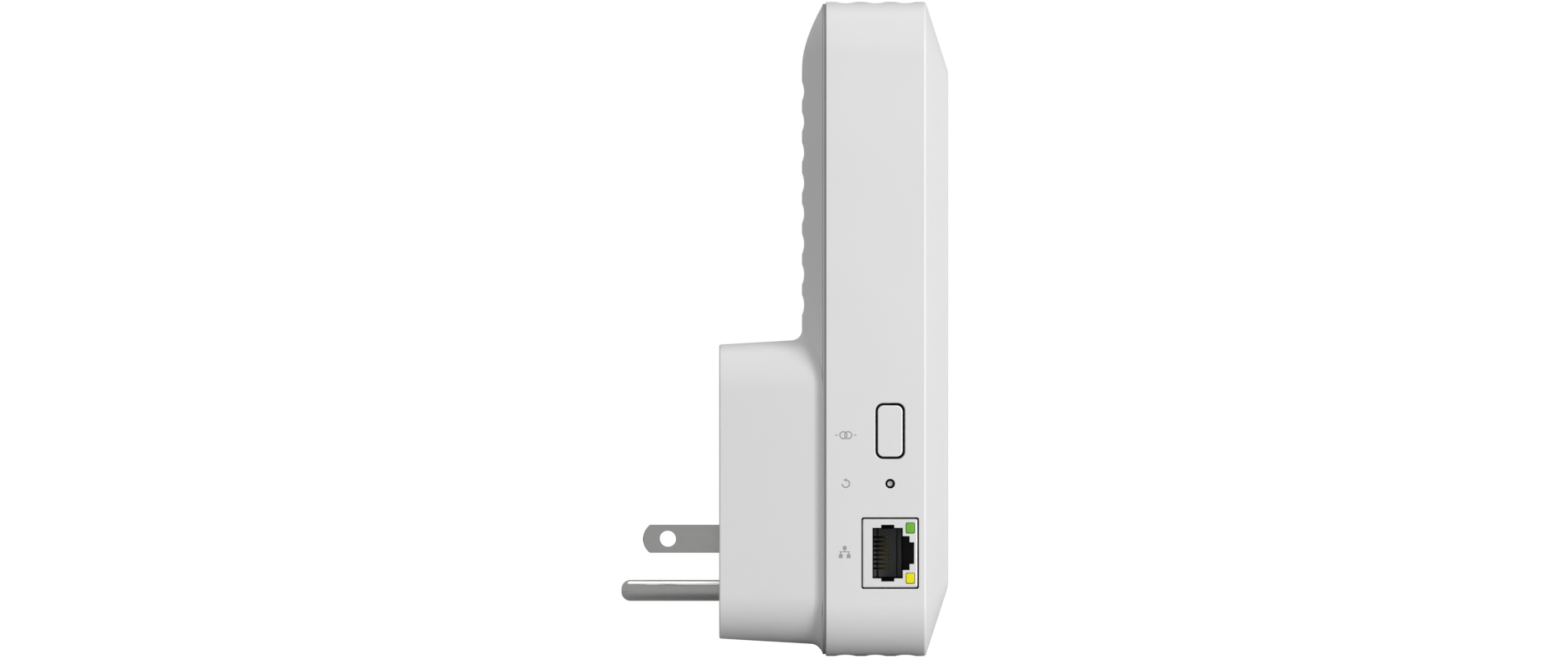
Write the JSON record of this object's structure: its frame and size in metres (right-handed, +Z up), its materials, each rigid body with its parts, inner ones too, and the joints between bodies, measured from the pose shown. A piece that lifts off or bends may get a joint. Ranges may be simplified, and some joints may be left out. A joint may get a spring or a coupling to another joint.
{
  "type": "wifi range extender",
  "caption": "White plug-in wifi range extender with a grounded mains plug on its back, vented casing, and a pairing button, reset hole and network jack on one side.",
  "frame": {"origin": "midway between the two flat blades, on the face that meets the wall plate", "axes": "+Y into the wall along the blades, +Z up the casing, ports on the -X side, front face towards -Y"},
  "size_m": [0.0763, 0.0751, 0.15],
  "materials": {
    "casing_white": "satin, finely moulded",
    "insert_white": "satin, moulded",
    "nickel_plate": "satin nickel plate over brass",
    "tin_plate": "bright tin plate",
    "black_plastic": "glass-filled, matt",
    "grey_plastic": "smooth",
    "led_green": "tinted clear resin",
    "led_amber": "tinted clear resin",
    "led_white": "clear resin over white",
    "board_green": "solder mask over glass fibre",
    "board_tan": "bare paper laminate",
    "thermal_silicone": "soft, dull",
    "heat_sink_aluminium": "extruded, clear anodised",
    "clear_acrylic": "clear, frosted at the ends",
    "gold_contact": "gold flash",
    "lead_black": "extruded sleeve",
    "lead_red": "extruded sleeve",
    "transformer_tape": "polyester tape over ferrite",
    "capacitor_sleeve": "shrunk sleeve",
    "film_capacitor": "moulded box",
    "choke_winding": "enamelled copper over ferrite",
    "fuse_ceramic": "unglazed",
    "insulation_film": "translucent film",
    "nylon": "natural",
    "zinc_steel": "zinc plate"
  },
  "bodies": {
    "casing": {"antenna_1": "board_tan", "antenna_2": "board_tan", "antenna_3": "board_tan", "antenna_lead_1": "lead_black", "antenna_lead_2": "lead_black", "antenna_lead_3": "lead_black", "board_screw_1": "zinc_steel", "board_screw_2": "zinc_steel", "board_screw_3": "zinc_steel", "board_screw_4": "zinc_steel", "bridge_rectifier": "black_plastic", "bulk_capacitor_1": "capacitor_sleeve", "bulk_capacitor_2": "capacitor_sleeve", "case_screw_1": "zinc_steel", "case_screw_2": "zinc_steel", "case_screw_3": "zinc_steel", "case_screw_4": "zinc_steel", "coax_socket_1": "gold_contact", "coax_socket_2": "gold_contact", "coax_socket_3": "gold_contact", "ethernet_magnetics": "black_plastic", "front_shell": "casing_white", "fuse": "fuse_ceramic", "ground_pin": "nickel_plate", "heat_sink": "heat_sink_aluminium", "insulation_sheet": "insulation_film", "interference_capacitor": "film_capacitor", "jack_contact_block": "black_plastic", "jack_housing": "black_plastic", "jack_led_amber": "led_amber", "jack_led_green": "led_green", "jack_shield": "tin_plate", "light_guide": "clear_acrylic", "line_blade": "nickel_plate", "main_board": "board_green", "mains_choke": "choke_winding", "neutral_blade": "nickel_plate", "output_capacitor": "capacitor_sleeve", "pairing_switch_body": "black_plastic", "plug_insert": "insert_white", "power_board": "board_tan", "power_header": "nylon", "power_lead_negative": "lead_black", "power_lead_positive": "lead_red", "power_screw_1": "zinc_steel", "power_screw_2": "zinc_steel", "radio_shield_2g": "tin_plate", "radio_shield_5g": "tin_plate", "rear_shell": "casing_white", "reset_switch_body": "black_plastic", "status_led_1": "led_white", "status_led_2": "led_white", "status_led_3": "led_white", "status_led_4": "led_white", "thermal_pad": "thermal_silicone", "transformer": "transformer_tape"},
    "pairing_cap": {"pairing_button": "casing_white"},
    "pairing_plunger": {"pairing_switch_plunger": "black_plastic"},
    "reset_actuator": {"reset_pin": "grey_plastic"}
  },
  "joints": [
    {"name": "pairing_press", "type": "slide", "parent": "casing", "child": "pairing_cap", "axis": [1, 0, 0], "range_m": [0, 0.0005], "stiffness_N_per_m": 1500, "springref_m": -0.0003},
    {"name": "pairing_switch_press", "type": "slide", "parent": "casing", "child": "pairing_plunger", "axis": [1, 0, 0], "range_m": [0, 0.0005]},
    {"name": "reset_press", "type": "slide", "parent": "casing", "child": "reset_actuator", "axis": [1, 0, 0], "range_m": [0, 0.0004], "stiffness_N_per_m": 1500, "springref_m": -0.0003}
  ],
  "couplings": [
    {"joint": "pairing_switch_press", "follows": "pairing_press", "ratio": 1}
  ]
}
